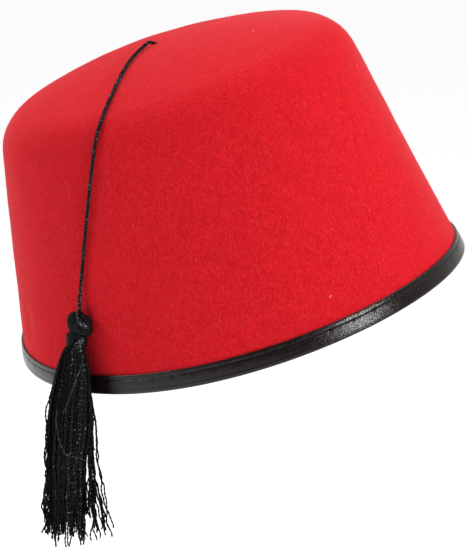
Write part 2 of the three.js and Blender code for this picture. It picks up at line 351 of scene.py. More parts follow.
class FeltSurface:
    """The felt's outside, reached by direction round the crown and distance up its section."""

    def __init__(self, crown):
        self.crown = crown
        self.section = np.array([tuple(p) for p in crown_section(crown)])
        steps = np.diff(self.section, axis=0)
        lengths = np.linalg.norm(steps, axis=1)
        self.along = np.concatenate([[0], np.cumsum(lengths)])
        self.middles = (self.along[1:] + self.along[:-1]) / 2
        self.normals = np.stack([steps[:, 1], -steps[:, 0]], 1) / lengths[:, None]

    def radius(self, along):
        return np.interp(along, self.along, self.section[:, 0])

    def height(self, along):
        return np.interp(along, self.along, self.section[:, 1])

    def points(self, azimuth, along, off):
        """Points at a distance off the felt."""
        radius = self.radius(along) + off * np.interp(along, self.middles, self.normals[:, 0])
        height = self.height(along) + off * np.interp(along, self.middles, self.normals[:, 1])
        return settle(round_points(radius, azimuth, height), self.crown)


# Meshes


def points_of(piece):
    points = np.empty(len(piece.data.vertices) * 3)
    piece.data.vertices.foreach_get("co", points)
    return points.reshape(-1, 3)


def put_points(piece, points):
    piece.data.vertices.foreach_set("co", np.ascontiguousarray(points, dtype=np.float32).ravel())
    piece.data.update()


def normals_of(piece):
    return np.array([v.normal for v in piece.data.vertices])


def mark(mesh, name, values):
    """Keeps a number at each point of a mesh, for its finish to read."""
    attribute = mesh.attributes.new(name, "FLOAT", "POINT")
    attribute.data.foreach_set("value", values.astype(np.float32))


def deselect():
    bpy.ops.object.select_all(action="DESELECT")


def select_only(piece):
    deselect()
    piece.select_set(True)
    bpy.context.view_layer.objects.active = piece


def apply(piece, kind, **settings):
    """Adds a modifier with its settings and applies it."""
    modifier = piece.modifiers.new(kind.title(), kind)
    for key, value in settings.items():
        setattr(modifier, key, value)
    select_only(piece)
    bpy.ops.object.modifier_apply(modifier=modifier.name)


def put_place_in_mesh():
    bpy.ops.object.transform_apply(location=True, rotation=True, scale=True)


def smooth_within(degrees):
    """Shades smoothly across edges that bend by less than an angle."""
    bpy.ops.object.shade_smooth_by_angle(angle=math.radians(degrees))


def close_skin():
    """Merges the points that meet, turns the faces outwards and leaves edit mode."""
    bpy.ops.mesh.select_all(action="SELECT")
    bpy.ops.mesh.remove_doubles(threshold=TOUCHING)
    bpy.ops.mesh.normals_make_consistent(inside=False)
    bpy.ops.object.mode_set(mode="OBJECT")


def ring_by_ring(name, section, around):
    """A round skin in edit mode: a circle at the section's first point, extruded through the others."""
    deselect()
    radius, height = section[0]
    bpy.ops.mesh.primitive_circle_add(vertices=around, radius=radius, location=(0, 0, height))
    piece = bpy.context.object
    piece.name = name
    put_place_in_mesh()
    bpy.ops.object.mode_set(mode="EDIT")
    bpy.ops.mesh.select_all(action="SELECT")
    for (radius, height), (next_radius, next_height) in zip(section, section[1:]):
        bpy.ops.mesh.extrude_region_move(TRANSFORM_OT_translate={"value": (0, 0, next_height - height)})
        grow = next_radius / radius
        bpy.ops.transform.resize(value=(grow, grow, 1), center_override=(0, 0, next_height))
    return piece


def finish_piece(piece, finish, solid=None):
    """Puts the finish on a piece, hangs it from the root body and hides the solid that it stands for."""
    piece.data.materials.clear()
    piece.data.materials.append(finish)
    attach(piece, "root")
    if solid:
        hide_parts(solid)


# Routes and twisted yarn


def smooth_route(points, step):
    """Points about a step apart on the smooth line through a route's points."""
    points = [Vector(p) for p in points]
    ends = [2 * points[0] - points[1], *points, 2 * points[-1] - points[-2]]
    steps = 24
    fine = []
    for a, b, c, d in zip(ends, ends[1:], ends[2:], ends[3:]):
        t1 = (b - a).length ** 0.5
        t2 = t1 + (c - b).length ** 0.5
        t3 = t2 + (d - c).length ** 0.5
        for i in range(steps):
            t = t1 + (t2 - t1) * i / steps
            ab = a.lerp(b, t / t1)
            bc = b.lerp(c, (t - t1) / (t2 - t1))
            cd = c.lerp(d, (t - t2) / (t3 - t2))
            abc = ab.lerp(bc, t / t2)
            bcd = bc.lerp(cd, (t - t1) / (t3 - t1))
            fine.append(abc.lerp(bcd, (t - t1) / (t2 - t1)))
    fine.append(points[-1])
    return evenly(fine, step)


def evenly(line, step):
    """The same line with its points evenly spaced."""
    line = np.array([tuple(p) for p in line])
    along = np.concatenate([[0], np.cumsum(np.linalg.norm(np.diff(line, axis=0), axis=1))])
    count = max(2, round(along[-1] / step) + 1)
    at = np.linspace(0, along[-1], count)
    return np.stack([np.interp(at, along, line[:, k]) for k in range(3)], 1)


def length_of(line):
    return float(np.linalg.norm(np.diff(line, axis=0), axis=1).sum())


def ply_section(plies, across, points):
    """The outline of plies laid together, as a closed curve of the given points."""
    ply = across / 2 / PLIES_ACROSS[plies]
    off = across / 2 - ply
    curve = bpy.data.curves.new("section", "CURVE")
    curve.dimensions = "2D"
    spline = curve.splines.new("POLY")
    spline.points.add(points - 1)
    for i in range(points):
        a = 2 * math.pi * i / points
        turn = 2 * math.pi / plies
        b = (a + turn / 2) % turn - turn / 2
        r = off * math.cos(b) + math.sqrt(max(ply**2 - (off * math.sin(b)) ** 2, 0))
        spline.points[i].co = (r * math.cos(a), r * math.sin(a), 0, 1)
    spline.use_cyclic_u = True
    section = bpy.data.objects.new("section", curve)
    bpy.context.collection.objects.link(section)
    return section


def twist_yarns(name, lines, across, lay, plies=2, points=8, sizes=None, turns=None):
    """Twisted yarns along lines of points, as one mesh, each with its own sizes along it and first turn."""
    section = ply_section(plies, across, points)
    curve = bpy.data.curves.new(name, "CURVE")
    curve.dimensions = "3D"
    curve.twist_mode = "MINIMUM"
    curve.bevel_mode = "OBJECT"
    curve.bevel_object = section
    curve.use_fill_caps = True
    for i, line in enumerate(lines):
        spline = curve.splines.new("POLY")
        spline.points.add(len(line) - 1)
        spline.points.foreach_set("co", np.hstack([line, np.ones((len(line), 1))]).ravel())
        step = length_of(line) / (len(line) - 1)
        start = turns[i] if turns is not None else 0.0
        spline.points.foreach_set("tilt", start + 2 * math.pi * step / lay * np.arange(len(line)))
        if sizes is not None:
            spline.points.foreach_set("radius", np.ascontiguousarray(sizes[i], dtype=np.float32))
        spline.use_smooth = True
    piece = bpy.data.objects.new(name, curve)
    bpy.context.collection.objects.link(piece)
    select_only(piece)
    bpy.ops.object.convert(target="MESH")
    piece = bpy.context.object
    bpy.data.objects.remove(section)
    bpy.ops.object.mode_set(mode="EDIT")
    close_skin()
    smooth_within(70)
    return piece


# Materials


class Value:
    """A number or colour in a node tree. Sums on it add Math nodes."""

    def __init__(self, tree, socket):
        self.tree = tree
        self.socket = socket

    def maths(self, operation, *terms):
        return self.tree.add("ShaderNodeMath", {"operation": operation}, dict(enumerate(terms)))

    def __add__(self, other):
        return self.maths("ADD", self, other)

    def __sub__(self, other):
        return self.maths("SUBTRACT", self, other)

    def __mul__(self, other):
        return self.maths("MULTIPLY", self, other)

    def __rsub__(self, other):
        return self.maths("SUBTRACT", other, self)

    __radd__ = __add__
    __rmul__ = __mul__

    def between(self, low, high):
        """0 below low, 1 above high and smooth between them."""
        sockets = {"Value": self, "From Min": low, "From Max": high}
        return self.tree.add("ShaderNodeMapRange", {"interpolation_type": "SMOOTHSTEP"}, sockets)


class Tree:
    """The nodes of a material or of the world, around the shader they end in."""

    def __init__(self, tree, shader):
        self.nodes = tree.nodes
        self.links = tree.links
        self.shader = tree.nodes[shader]

    def add(self, kind, settings=None, sockets=None, out=0):
        """Adds a node with its settings, then its sockets, and gives one of its outputs."""
        node = self.nodes.new(kind)
        for key, value in (settings or {}).items():
            setattr(node, key, value)
        for key, value in (sockets or {}).items():
            self.put(node.inputs[key], value)
        return Value(self, node.outputs[out])

    def put(self, socket, value):
        """Links a value to a socket, or sets the socket to a number or colour."""
        if isinstance(value, Value):
            self.links.new(value.socket, socket)
        elif socket.type == "RGBA":
            socket.default_value = (*value, 1)
        else:
            socket.default_value = value

    def surface(self, sockets):
        """Sets or links sockets of the shader."""
        for key, value in sockets.items():
            self.put(self.shader.inputs[key], value)

    def coordinates(self, turn=(0, 0, 0), scale=(1, 1, 1)):
        """The piece's own coordinates, turned and then stretched."""
        place = self.add("ShaderNodeTexCoord", out="Object")
        turned = self.add("ShaderNodeMapping", None, {"Vector": place, "Rotation": turn})
        return self.add("ShaderNodeVectorMath", {"operation": "MULTIPLY"}, {0: turned, 1: scale})

    def noise(self, place, scale, detail=2.0, roughness=0.5, distortion=0.0):
        sockets = {"Vector": place, "Scale": scale, "Detail": detail}
        sockets |= {"Roughness": roughness, "Distortion": distortion}
        return self.add("ShaderNodeTexNoise", None, sockets)

    def attribute(self, name):
        return self.add("ShaderNodeAttribute", {"attribute_name": name}, None, "Fac")

    def mix(self, low, high, share):
        """A colour between two, by a share from 0 to 1."""
        return self.add("ShaderNodeMix", {"data_type": "RGBA"}, {0: share, 6: low, 7: high}, 2)

    def scaled(self, tint, share):
        """A colour made lighter or darker."""
        return self.add("ShaderNodeVectorMath", {"operation": "SCALE"}, {0: tint, "Scale": share})

    def blend(self, low, high, share):
        """A number between two, by a share from 0 to 1."""
        return low + (high - low) * share

    def bump(self, height, distance, strength=1.0):
        sockets = {"Height": height, "Distance": distance, "Strength": strength}
        self.put(self.shader.inputs["Normal"], self.add("ShaderNodeBump", None, sockets))


def new_finish(name, constants):
    """A material, and its node tree with the shader's constants set."""
    material = bpy.data.materials.new(name)
    material.use_nodes = True
    tree = Tree(material.node_tree, "Principled BSDF")
    tree.surface(constants)
    return material, tree


def felt_finish(crown):
    """Dyed wool felt: short fibres that run down the wall and across the top. Its colour is darker where the
    bump is low and lighter where it is high: painted shade between the fibres and painted light on the raised
    ones.
    """
    material, felt = new_finish("red_felt", {
        "Roughness": 0.9, "Specular IOR Level": 0.11,
        "Sheen Weight": 0.10, "Sheen Roughness": 0.31, "Sheen Tint": (1.0, 0.72, 0.78),
    })
    turn = (0, crown.lean, 0)
    down = felt.coordinates(turn, (1, 1, 0.24))
    over = felt.coordinates(turn, (0.30, 1, 1))
    even = felt.coordinates(turn)
    top = felt.attribute("top_share")
    fine = felt.blend(felt.noise(down, 3600, 2, 0.6, 0.5), felt.noise(over, 3600, 2, 0.6, 0.5), top)
    long = felt.blend(felt.noise(down, 2100, 2, 0.5, 0.6), felt.noise(over, 2100, 2, 0.5, 0.6), top)
    grain = felt.noise(even, 2100, 2, 0.7)
    mottle = felt.noise(even, 150, 3, 0.55)
    patches = felt.noise(even, 24, 2, 0.5)
    weave = fine * 0.42 + long * 0.42 + grain * 0.16
    # Painted shade in the bump's hollows and painted light on its ridges
    pit_shade = 1.0 - weave.between(0.40, 0.53)
    raised = weave.between(0.50, 0.66)
    ground = felt.mix(crown.felt, crown.felt_deep, pit_shade * 0.50)
    ground = felt.mix(ground, crown.felt_light, raised * 0.58)
    shade = (mottle - 0.5) * 0.11 + (patches - 0.5) * 0.10 + 1.0
    felt.bump(weave * 0.9 + mottle * 0.2, 0.00015, 0.7)
    felt.surface({"Base Color": felt.scaled(ground, shade)})
    return material


def nap_finish(crown):
    """Single fibres on the felt, from deep red to pale, and pale flecks of lint."""
    material, nap = new_finish("felt_nap", {
        "Roughness": 0.9, "Specular IOR Level": 0.1, "Sheen Weight": 0.1, "Sheen Roughness": 0.4,
    })
    tone = nap.attribute("tone")
    fray = nap.noise(nap.coordinates(), 900, 2, 0.6)
    ground = nap.mix(crown.felt_deep, crown.felt, tone.between(0.0, 0.45))
    ground = nap.mix(ground, crown.felt_light, tone.between(0.45, 1.0))
    ground = nap.mix(ground, crown.lint, tone.between(1.2, 2.0))
    nap.surface({"Base Color": nap.scaled(ground, fray * 0.5 + 0.75)})
    return material


def tape_finish(tape):
    """Smooth black tape with a close grain that sparkles, dull along the seam, where it is painted the
    thread's black: partly the thread's own colour, partly painted shade in the crease and holes.
    """
    material, black = new_finish("black_tape", {"Specular IOR Level": 0.36})
    place = black.coordinates()
    grain = black.noise(place, 2800, 1, 0.5)
    cloth = black.noise(place, 420, 3, 0.6)
    wear = black.noise(place, 45, 3, 0.6)
    seam_and_crease_shade = black.attribute("seam_and_crease_shade")
    ground = black.mix(tape.tape, tape.worn, (cloth * 0.5 + wear * 0.5).between(0.45, 0.70))
    # Painted shade: the crease and the stitch holes are painted the thread's black
    ground = black.mix(ground, tape.thread, seam_and_crease_shade)
    black.bump(grain + cloth * 0.2, 0.00010, 0.8)
    rough = 0.12 + grain.between(0.42, 0.75) * 0.26 + cloth * 0.06 + seam_and_crease_shade * 0.6
    black.surface({"Base Color": ground, "Roughness": rough})
    return material


def yarn_finish(name, tassel, painted_glint=0.5, shine=0.10, rare=0.66, pale=0.0, crest_highlight=0.0, dust=0.6):
    """Black yarn with painted highlights: paler crests on its twist and bright painted glints, the fewer the
    higher rare is.
    """
    material, yarn = new_finish(name, {"Specular IOR Level": shine})
    place = yarn.coordinates()
    fibres = yarn.noise(place, 3600, 2, 0.6)
    glint_spots = yarn.noise(place, 2000, 1, 0.5)
    tone = yarn.noise(place, 260, 2, 0.6)
    # Painted highlight: points on the crests of the twist are painted paler, as if they caught the light
    crest = yarn.attribute("crest").between(0.58, 1.00) * fibres.between(0.44, 0.60)
    # Painted glints: bright specks where the spot and tone noises meet
    light = glint_spots.between(rare, rare + 0.07) * tone.between(0.40, 0.56) * painted_glint
    ground = yarn.mix(tassel.black, tassel.dusty, fibres.between(0.50, 0.75) * dust)
    ground = yarn.mix(ground, tassel.pale, crest * crest_highlight + pale)
    ground = yarn.mix(ground, tassel.painted_glint, light)
    yarn.bump(fibres, 0.00014, 0.5)
    yarn.surface({"Base Color": ground, "Roughness": 0.50 + tone * 0.25})
    return material


def mark_crests(piece, lines):
    """Says how far out of its twist each point lies, from 0 in a groove to 1 on a crest, for the finish to
    paint a highlight on the crests.
    """
    points = points_of(piece)
    middles = np.concatenate(lines)
    away = np.array([np.linalg.norm(middles - point, axis=1).min() for point in points])
    low, high = np.percentile(away, (3, 97))
    mark(piece.data, "crest", np.clip((away - low) / (high - low), 0, 1))


# Pieces


class FEZ_OT_camera(bpy.types.Operator):
    """Place the camera at the photograph's viewing angle"""

    bl_idname = "fez.camera"
    bl_label = "Camera"

    def execute(self, context):
        studio = context.scene.fez_studio
        bpy.ops.object.camera_add(location=studio.camera_place, rotation=(studio.pitch, 0, 0))
        camera = context.object
        camera.data.lens = studio.lens
        camera.data.sensor_width = 36
        context.scene.camera = camera
        return {"FINISHED"}


class FEZ_OT_cord(bpy.types.Operator):
    """Lay the twisted cord from the hole over the shoulder down to the tassel"""

    bl_idname = "fez.cord"
    bl_label = "Cord"

    def execute(self, context):
        tassel = context.scene.fez_tassel
        line = smooth_route(CORD_ROUTE, CORD_STEP)
        piece = twist_yarns("twisted_cord", [line], tassel.cord, tassel.cord_lay, plies=3, points=18)
        mark_crests(piece, [line])
        # Painted highlights: the cord's crests are painted paler and it has painted glints
        finish = yarn_finish("cord_yarn", tassel, 0.7, 0.07, 0.64, crest_highlight=0.56, dust=0.1)
        finish_piece(piece, finish, "tassel_cord")
        return {"FINISHED"}


class FEZ_OT_crown(bpy.types.Operator):
    """Block the felt crown"""

    bl_idname = "fez.crown"
    bl_label = "Crown"

    def execute(self, context):
        crown = context.scene.fez_crown
        piece = ring_by_ring("felt_crown", crown_section(crown), crown.around)
        bpy.ops.mesh.extrude_region_move(TRANSFORM_OT_translate={"value": (0, 0, 0)})
        bpy.ops.mesh.merge(type="CENTER")
        close_skin()
        points = points_of(piece)
        mark(piece.data, "top_share", top_share(crown, points[:, 2]))
        points = settle(points, crown)
        put_points(piece, points)
        normals = normals_of(piece)
        points += normals * lump_heights(crown, points)[:, None]
        points += normals * self.around_the_hole(points)[:, None]
        away = np.linalg.norm((points - np.array(DENT)) * DENT_SHAPE, axis=1)
        points -= normals * (DENT_DEPTH * hill(away, DENT_WIDTH))[:, None]
        put_points(piece, points)
        apply(piece, "SOLIDIFY", thickness=crown.thickness, offset=-1, use_even_offset=True)
        self.pierce(context, piece)
        smooth_within(50)
        finish_piece(piece, felt_finish(crown), "crown")
        return {"FINISHED"}

    def around_the_hole(self, points):
        """The felt dips a little to the hole, with a low swell round it."""
        dip, swell, swell_radius = 0.00045, 0.00022, 0.0034
        away = np.linalg.norm(points - np.array(CORD_EXIT), axis=1)
        return swell * hill(away - swell_radius, 0.0016) - dip * hill(away, 0.0019)

    def pierce(self, context, piece):
        """Cuts the hole that the cord comes out of."""
        start, leave = Vector(CORD_ROUTE[0]), Vector(CORD_EXIT)
        turn = Vector((0, 0, 1)).rotation_difference(leave - start).to_euler()
        gap, reach = 0.00016, 0.012
        radius = context.scene.fez_tassel.cord / 2 + gap
        deselect()
        bpy.ops.mesh.primitive_cylinder_add(
            vertices=24, radius=radius, depth=reach, location=(start + leave) / 2, rotation=turn
        )
        punch = context.object
        apply(piece, "BOOLEAN", operation="DIFFERENCE", solver="EXACT", object=punch)
        bpy.data.objects.remove(punch)


class FEZ_OT_nap(bpy.types.Operator):
    """Lay single fibres and a few flecks of lint on the felt"""

    bl_idname = "fez.nap"
    bl_label = "Felt nap"

    def execute(self, context):
        crown = context.scene.fez_crown
        felt = FeltSurface(crown)
        dice = np.random.default_rng(12)
        count = crown.fibres
        above_tape, short_of_middle = 0.008, 0.0025
        clear, arch, most_raised = 0.00004, 0.00008, 0.00055
        ladder = np.linspace(above_tape, felt.along[-1] - short_of_middle, 400)
        weights = np.cumsum(felt.radius(ladder))
        along = np.interp(dice.random(count) * weights[-1], weights, ladder)
        azimuth = dice.uniform(-math.pi, math.pi, count)
        on_top = dice.random(count) < top_share(crown, felt.height(along))
        across = np.arctan2(-np.sin(azimuth), -np.cos(azimuth))
        way = np.where(on_top, across + dice.normal(0, 0.55, count), dice.normal(0, 0.5, count))
        bend = dice.normal(0, 0.9, count)
        length = dice.uniform(0.0016, 0.0045, count)
        width = dice.uniform(0.00005, 0.00011, count)
        raised = dice.random(count) ** 6 * most_raised
        tones, shares = [0.24, 0.40, 0.72, 1.0], [0.10, 0.36, 0.36, 0.18]
        tone = dice.choice(tones, count, p=shares)
        tone += dice.uniform(-0.08, 0.08, count)
        for i, (direction, up, turned) in enumerate(LINT):
            azimuth[i], along[i], way[i], bend[i] = direction, up, turned, 1.0
            length[i], width[i], raised[i], tone[i] = 0.0015, 0.00038, 0.0002, 2.0
        lift = lump_heights(crown, felt.points(azimuth, along, 0.0)) + clear
        radius = felt.radius(along)
        rows = []
        for step in (-0.5, -0.17, 0.17, 0.5):
            turn = way + bend * step
            out = lift + arch * (1 - (2 * step) ** 2) + raised * (step + 0.5) ** 2
            for side in (-0.5, 0.5):
                narrow = width * (0.45 if abs(step) == 0.5 else 1.0) * side
                across_way = step * length * np.sin(turn) + narrow * np.cos(turn)
                up_way = step * length * np.cos(turn) - narrow * np.sin(turn)
                rows.append(felt.points(azimuth + across_way / radius, along + up_way, out))
        points = np.stack(rows, 1).reshape(-1, 3)
        ribbon = np.array([(0, 1, 3, 2), (2, 3, 5, 4), (4, 5, 7, 6)])
        faces = (ribbon[None] + 8 * np.arange(count)[:, None, None]).reshape(-1, 4)
        mesh = bpy.data.meshes.new("felt_nap")
        mesh.from_pydata(points.tolist(), [], faces.tolist())
        mark(mesh, "tone", np.repeat(tone, 8))
        piece = bpy.data.objects.new("felt_nap", mesh)
        context.collection.objects.link(piece)
        finish_piece(piece, nap_finish(crown))
        return {"FINISHED"}


class FEZ_OT_tape(bpy.types.Operator):
    """Fold the tape over the rim and pucker it at its stitches"""

    bl_idname = "fez.tape"
    bl_label = "Rim tape"

    def execute(self, context):
        crown, tape = context.scene.fez_crown, context.scene.fez_tape
        faces_per_stitch = 12
        piece = ring_by_ring("rim_tape", self.section(crown, tape), tape.stitches * faces_per_stitch)
        close_skin()
        points, seam_and_crease_shade = self.puckered(points_of(piece), crown, tape)
        put_points(piece, settle(points, crown))
        mark(piece.data, "seam_and_crease_shade", seam_and_crease_shade)
        smooth_within(60)
        finish_piece(piece, tape_finish(tape), "edge_binding")
        return {"FINISHED"}

    def section(self, crown, tape):
        """The tape's section: up between it and the felt, down its outside, round the fold and back."""
        slant = math.cos(wall_geometry(crown)[3])
        felt = crown.thickness / slant
        full = (tape.gap + tape.thickness) / slant
        ridge_height, behind = 0.0016, 0.00008

        def outer(z):
            lean_in = 0.00006 * max(0.0, (z - tape.stitch_height) / (tape.height - tape.stitch_height)) ** 1.3
            ridge = 0.00009 * hill(z - ridge_height, 0.00022)
            swell = 0.00010 * math.sin(math.pi * min(1.0, max(0.0, (z - ridge_height) / 0.0042)))
            return wall_radius(crown, z) + full - lean_in + ridge + swell

        def inner(z):
            return wall_radius(crown, z) - felt - full

        section = [(wall_radius(crown, z / 1000) + behind, z / 1000) for z in (0.9, 3.0, 5.0, 6.4, 7.1)]
        section.append((wall_radius(crown, tape.height) + 0.00012, tape.height - 0.00022))
        section.append((outer(tape.height) - 0.00026, tape.height - 0.00002))
        section.append((outer(tape.height) - 0.00006, tape.height - 0.00012))
        # In millimetres from the stitch line, from the ridge and from the inner stitch line
        by_seam = (1.5, 1.1, 0.7, 0.4, 0.25, 0.17, 0.11, 0.06, 0.02)
        under_seam = (-0.02, -0.06, -0.11, -0.17, -0.25, -0.4, -0.6, -0.9)
        by_ridge = (2.9, 2.4, 1.8, 1.2, 0.6, 0.3, 0.15, 0.05, -0.05, -0.15, -0.25, -0.4)
        inside = (-2.2, -0.8, -0.3, -0.1, 0.05, 0.15, 0.3, 0.6, 1.1)
        heights = [tape.stitch_height + up / 1000 for up in (*by_seam, *under_seam)]
        heights += [ridge_height + up / 1000 for up in by_ridge]
        section += [(outer(z), z) for z in heights]
        fold_steps, inner_fold_steps = 8, 5
        for i in range(fold_steps, -1, -1):
            a = math.pi / 2 * i / fold_steps
            z = tape.fold * (1 - math.cos(a))
            section.append((outer(z) - tape.fold * (1 - math.sin(a)), z))
        for i in range(1, inner_fold_steps + 1):
            a = math.pi / 2 * i / inner_fold_steps
            z = tape.fold * (1 - math.cos(a))
            section.append((inner(z) + tape.fold * (1 - math.sin(a)), z))
        heights = [tape.stitch_height_inside + up / 1000 for up in inside]
        section += [(inner(z), z) for z in heights]
        section.append((inner(tape.height_inside) + 0.0001, tape.height_inside - 0.0002))
        section.append((inner(tape.height_inside) + 0.0004, tape.height_inside))
        section += [(wall_radius(crown, z / 1000) - felt - behind, z / 1000) for z in (5.8, 3.4, 0.9)]
        section.append(section[0])
        return section

    def puckered(self, points, crown, tape):
        """Presses the seam in, deeper where the thread dips, and says how much of each point is seam, for the
        finish to paint there the thread's black as painted shade in the crease and holes.
        """
        radius = np.hypot(points[:, 0], points[:, 1])
        azimuth = np.arctan2(points[:, 1], points[:, 0])
        z = points[:, 2]
        phase = azimuth * tape.stitches / (2 * math.pi)
        near = phase - np.round(phase)
        drawn = near * (0.35 + 2.6 * near**2)
        azimuth += (drawn - near) * 2 * math.pi / tape.stitches
        near = np.abs(drawn) * 2 * math.pi * crown.rim_radius / tape.stitches
        outside = radius - wall_radius(crown, 0) + z * math.tan(wall_geometry(crown)[3])
        clear = 0.0005
        out_face = outside > clear
        in_face = outside < -crown.thickness - clear
        line = np.where(out_face, tape.stitch_height, tape.stitch_height_inside)
        wander = np.array([noise.noise(Vector((math.cos(a) * 7, math.sin(a) * 7, 3))) for a in azimuth])
        away = z - line - 0.00010 * wander
        hole_depth, pull_depth, deepest = 0.00034, 0.00010, 0.00054
        crease = hill(away, tape.crease_width)
        hole = hill(near, 0.00040) * hill(away + 0.00006, 0.00025)
        pull = hill(near, 0.0015) * hill(away + 0.0003, 0.0010)
        inward = np.minimum(tape.crease_depth * crease + hole_depth * hole, deepest) + pull_depth * pull
        inward = np.where(out_face, inward, np.where(in_face, -0.6 * inward, 0)) + 0.00004 * wander * out_face
        seam_and_crease_shade = np.clip(hill(away, 0.7 * tape.crease_width) + 1.1 * hole, 0, 1) * (out_face | in_face)
        return round_points(radius - inward, azimuth, z), seam_and_crease_shade


class FEZ_OT_stitches(bpy.types.Operator):
    """Sew the tape with a running thread"""

    bl_idname = "fez.stitches"
    bl_label = "Tape stitches"

    def execute(self, context):
        crown, tape = context.scene.fez_crown, context.scene.fez_tape
        slant = math.cos(wall_geometry(crown)[3])
        full = (tape.gap + tape.thickness) / slant
        across, lay, steps = 0.00030, 0.0012, 10
        sunk, sunk_inside, dive = 0.00030, 0.00018, 0.00045
        outside = wall_radius(crown, tape.stitch_height) + full - sunk
        inside = wall_radius(crown, tape.stitch_height_inside) - crown.thickness / slant - full + sunk_inside
        rows = ((outside, tape.stitch_height, -1), (inside, tape.stitch_height_inside, 1))
        share = np.linspace(0, 1, steps)
        lines = []
        for radius, height, sign in rows:
            for i in range(tape.stitches):
                a = 2 * math.pi * (i + 0.05 + 0.90 * share) / tape.stitches
                r = radius + sign * dive * np.abs(2 * share - 1) ** 5
                lines.append(settle(round_points(r, a, np.full(steps, height)), crown))
        piece = twist_yarns("tape_stitches", lines, across, lay, points=6)
        material, thread = new_finish("stitch_thread", {"Roughness": 0.6, "Specular IOR Level": 0.2})
        fray = thread.noise(thread.coordinates(), 2200, 2, 0.6)
        thread.surface({"Base Color": thread.mix(tape.thread, tape.worn, fray.between(0.5, 0.8))})
        finish_piece(piece, material)
        return {"FINISHED"}


class FEZ_OT_knot(bpy.types.Operator):
    """Tie the knot that holds the cord under the felt"""

    bl_idname = "fez.knot"
    bl_label = "Stopper knot"

    def execute(self, context):
        tassel = context.scene.fez_tassel
        start, leave = Vector(CORD_ROUTE[0]), Vector(CORD_ROUTE[1])
        along = (leave - start).normalized()
        side = along.orthogonal().normalized()
        across = along.cross(side)
        steps, rounds = 96, 2
        below, wide, weave, rise = 0.0024, 0.00112, 0.00052, 0.00105
        middle = start - along * below
        line = []
        for i in range(steps + 1):
            t = 2 * math.pi * i / steps * rounds
            out = wide + weave * math.cos(1.5 * t)
            lift = rise * math.sin(1.5 * t)
            line.append(middle + side * out * math.cos(t) + across * out * math.sin(t) + along * lift)
        lines = [evenly(line, YARN_STEP)]
        piece = twist_yarns("stopper_knot", lines, tassel.cord, tassel.cord_lay, plies=3, points=15)
        finish_piece(piece, yarn_finish("knot_yarn", tassel, 0.3, 0.15), "cord_knot")
        return {"FINISHED"}


def hang(tassel, points):
    """From the tassel's own frame (out, along, up) under the cord's end to the object's."""
    points = np.array(points, float)
    c, s = math.cos(tassel.direction), math.sin(tassel.direction)
    end = np.array(CORD_ROUTE[-1]) - (0, 0, tassel.gap)
    out, along, up = points.T
    return np.stack([out * c - along * s, out * s + along * c, up], 1) + end


class FEZ_OT_tassel_head(bpy.types.Operator):
    """Tie the tassel's knotted head"""

    bl_idname = "fez.tassel_head"
    bl_label = "Tassel head"

    def execute(self, context):
        tassel = context.scene.fez_tassel
        deselect()
        balls = []
        for place, across in LOBES:
            bpy.ops.mesh.primitive_uv_sphere_add(
                segments=28, ring_count=18, radius=0.5, location=hang(tassel, [place])[0],
                rotation=(0, 0, tassel.direction), scale=across,
            )
            balls.append(context.object)
        for ball in balls:
            ball.select_set(True)
        context.view_layer.objects.active = balls[0]
        bpy.ops.object.join()
        piece = context.object
        piece.name = "tassel_head"
        put_place_in_mesh()
        apply(piece, "REMESH", mode="VOXEL", voxel_size=0.0003)
        apply(piece, "SMOOTH", factor=0.5, iterations=7)
        points = points_of(piece)
        fold_depth = 0.00022
        folds = np.array([noise.noise(Vector(p)) for p in points * (260, 260, 420)])
        put_points(piece, points + normals_of(piece) * (fold_depth * folds)[:, None])
        bpy.ops.object.shade_smooth()
        finish_piece(piece, yarn_finish("head_yarn", tassel, 0.1))
        self.loops(tassel)
        return {"FINISHED"}

    def loops(self, tassel):
        """The yarns, bright with painted glints and painted highlights on their crests, that cross the head
        to the right and run down beside the neck.
        """
        across = [
            (0.0006, -0.0004, 0.0004), (0.0025, 0.0013, -0.0003), (0.0034, 0.0034, -0.0013),
            (0.0031, 0.0054, -0.0026), (0.0021, 0.0068, -0.0040), (0.0003, 0.0070, -0.0058),
            (-0.0012, 0.0056, -0.0072),
        ]
        down = [
            (0.0012, 0.0046, -0.0084), (0.0032, 0.0046, -0.0100), (0.0044, 0.0038, -0.0122),
            (0.0050, 0.0036, -0.0146), (0.0054, 0.0046, -0.0184), (0.0058, 0.0060, -0.0250),
        ]
        # How far each yarn lies beside its route and out from it, in steps
        beside = [(-0.6, -0.4), (0.0, 0.2), (0.7, 0.0), (1.4, 0.4), (2.1, 0.1), (2.8, -0.2)]
        fanned = [(-1.8, 0.2), (-1.1, -0.4), (-0.4, 0.4), (0.3, -0.1), (1.0, 0.4), (1.7, -0.1), (2.4, 0.2)]
        even, opening = 1.0, np.linspace(0.45, 1.9, len(down))[:, None]
        lines = []
        for route, yarns, step, spread in (
            (across, beside, (-0.00012, -0.00026, -0.00062), even),
            (down, fanned, (-0.00040, 0.00050, 0.0), opening),
        ):
            for aside, lift in yarns:
                shift = np.array(step) * aside * spread + np.array((0.0003, 0.0, 0.0)) * lift
                lines.append(smooth_route(hang(tassel, np.array(route) + shift), YARN_STEP))
        thread, lay = 0.00058, 0.0020
        piece = twist_yarns("head_loops", lines, thread, lay)
        mark_crests(piece, lines)
        finish_piece(piece, yarn_finish("loop_yarn", tassel, 1.0, 0.20, 0.58, crest_highlight=0.15))


